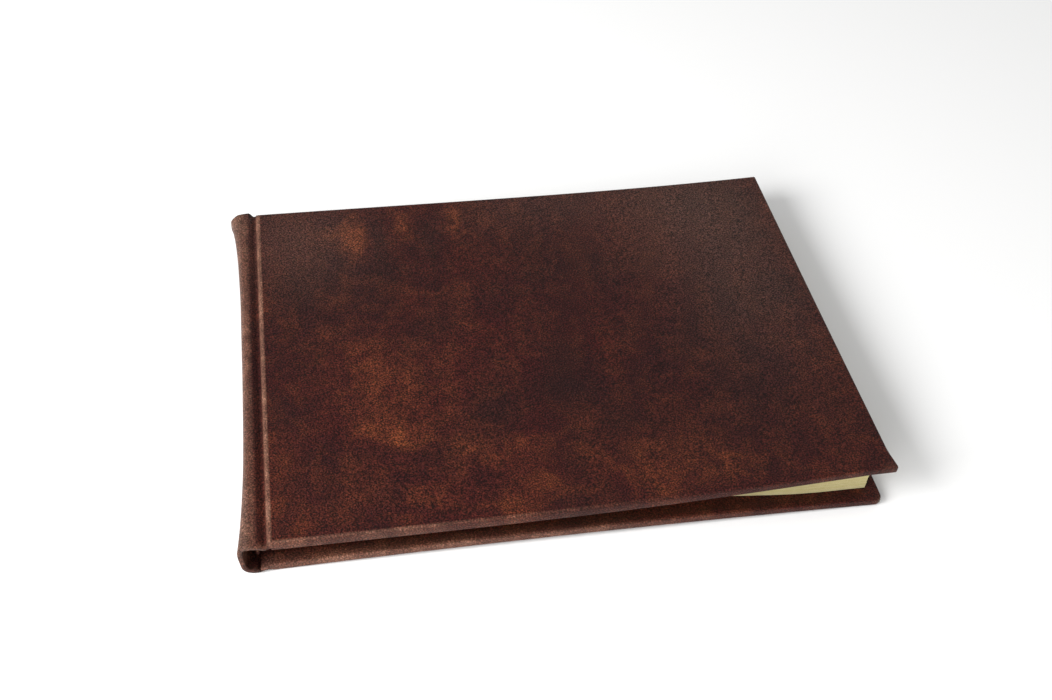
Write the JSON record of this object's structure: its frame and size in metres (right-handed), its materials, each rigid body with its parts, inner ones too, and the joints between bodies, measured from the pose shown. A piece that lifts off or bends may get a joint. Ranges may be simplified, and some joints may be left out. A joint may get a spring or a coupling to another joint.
{
  "type": "wedding guest book",
  "caption": "Landscape case-bound guest book in mottled leather: grooved joints, rounded hollow spine, warped front cover, sewn sections, endpapers and leaves that fan as it opens.",
  "frame": {"origin": "middle of the closed book's footprint, on the surface it lies on", "axes": "+X from spine to fore edge, +Y from tail to head, +Z from back cover to front cover"},
  "size_m": [0.3102, 0.2332, 0.0298],
  "materials": {
    "cover_leather": "satin",
    "millboard": "matte",
    "spine_card": "matte",
    "leaf_paper": "matte",
    "endpaper": "matte",
    "lining_paper": "matte",
    "mull_cloth": "matte",
    "tape_cloth": "matte",
    "thread": "matte",
    "band_cloth": "matte"
  },
  "bodies": {
    "text_block": {"section_1": "leaf_paper", "section_2": "leaf_paper", "section_3": "leaf_paper", "section_4": "leaf_paper", "section_5": "leaf_paper", "section_6": "leaf_paper", "section_7": "leaf_paper", "section_8": "leaf_paper", "leaf_margins": "leaf_paper", "sewing_tapes": "tape_cloth", "sewing_thread": "thread", "spine_mull": "mull_cloth", "spine_lining": "lining_paper", "head_band": "band_cloth", "tail_band": "band_cloth", "spine_leather": "cover_leather", "spine_stiffener": "spine_card", "front_joint_leather": "cover_leather", "back_joint_leather": "cover_leather"},
    "front_cover": {"front_board": "millboard", "front_cover_leather": "cover_leather", "front_infill": "millboard", "front_mull_flange": "mull_cloth", "front_pastedown": "endpaper"},
    "back_cover": {"back_board": "millboard", "back_cover_leather": "cover_leather", "back_infill": "millboard", "back_mull_flange": "mull_cloth", "back_pastedown": "endpaper"},
    "front_flyleaf_body": {"front_flyleaf": "leaf_paper"},
    "leaf_1_body": {"leaf_1": "leaf_paper"},
    "leaf_2_body": {"leaf_2": "leaf_paper"},
    "leaf_3_body": {"leaf_3": "leaf_paper"},
    "leaf_4_body": {"leaf_4": "leaf_paper"},
    "leaf_5_body": {"leaf_5": "leaf_paper"},
    "back_flyleaf_body": {"back_flyleaf": "leaf_paper"}
  },
  "joints": [
    {"name": "front_cover_open", "type": "hinge", "parent": "text_block", "child": "front_cover", "pos_m": [-0.1484, 0, 0.01665], "axis": [0, -1, 0], "range_deg": [0, 180], "deforming": ["front_joint_leather"]},
    {"name": "back_cover_open", "type": "hinge", "parent": "text_block", "child": "back_cover", "pos_m": [-0.1484, 0, 0.00435], "axis": [0, 1, 0], "range_deg": [0, 177], "deforming": ["back_joint_leather"]},
    {"name": "front_flyleaf_turn", "type": "hinge", "parent": "text_block", "child": "front_flyleaf_body", "pos_m": [-0.1484, 0, 0.01665], "axis": [0, -1, 0], "range_deg": [0, 155]},
    {"name": "leaf_1_turn", "type": "hinge", "parent": "text_block", "child": "leaf_1_body", "pos_m": [-0.1484, 0, 0.01665], "axis": [0, -1, 0], "range_deg": [0, 130]},
    {"name": "leaf_2_turn", "type": "hinge", "parent": "text_block", "child": "leaf_2_body", "pos_m": [-0.1484, 0, 0.01665], "axis": [0, -1, 0], "range_deg": [0, 105]},
    {"name": "leaf_3_turn", "type": "hinge", "parent": "text_block", "child": "leaf_3_body", "pos_m": [-0.1484, 0, 0.01665], "axis": [0, -1, 0], "range_deg": [0, 80]},
    {"name": "leaf_4_turn", "type": "hinge", "parent": "text_block", "child": "leaf_4_body", "pos_m": [-0.1484, 0, 0.01665], "axis": [0, -1, 0], "range_deg": [0, 55]},
    {"name": "leaf_5_turn", "type": "hinge", "parent": "text_block", "child": "leaf_5_body", "pos_m": [-0.1484, 0, 0.01665], "axis": [0, -1, 0], "range_deg": [0, 29]},
    {"name": "back_flyleaf_turn", "type": "hinge", "parent": "text_block", "child": "back_flyleaf_body", "pos_m": [-0.1484, 0, 0.00435], "axis": [0, 1, 0], "range_deg": [0, 100]}
  ],
  "couplings": [
    {"joint": "front_flyleaf_turn", "follows": "front_cover_open", "ratio": 0.86},
    {"joint": "leaf_1_turn", "follows": "front_cover_open", "ratio": 0.72},
    {"joint": "leaf_2_turn", "follows": "front_cover_open", "ratio": 0.58},
    {"joint": "leaf_3_turn", "follows": "front_cover_open", "ratio": 0.44},
    {"joint": "leaf_4_turn", "follows": "front_cover_open", "ratio": 0.3},
    {"joint": "leaf_5_turn", "follows": "front_cover_open", "ratio": 0.16},
    {"joint": "back_flyleaf_turn", "follows": "back_cover_open", "ratio": 0.55}
  ]
}
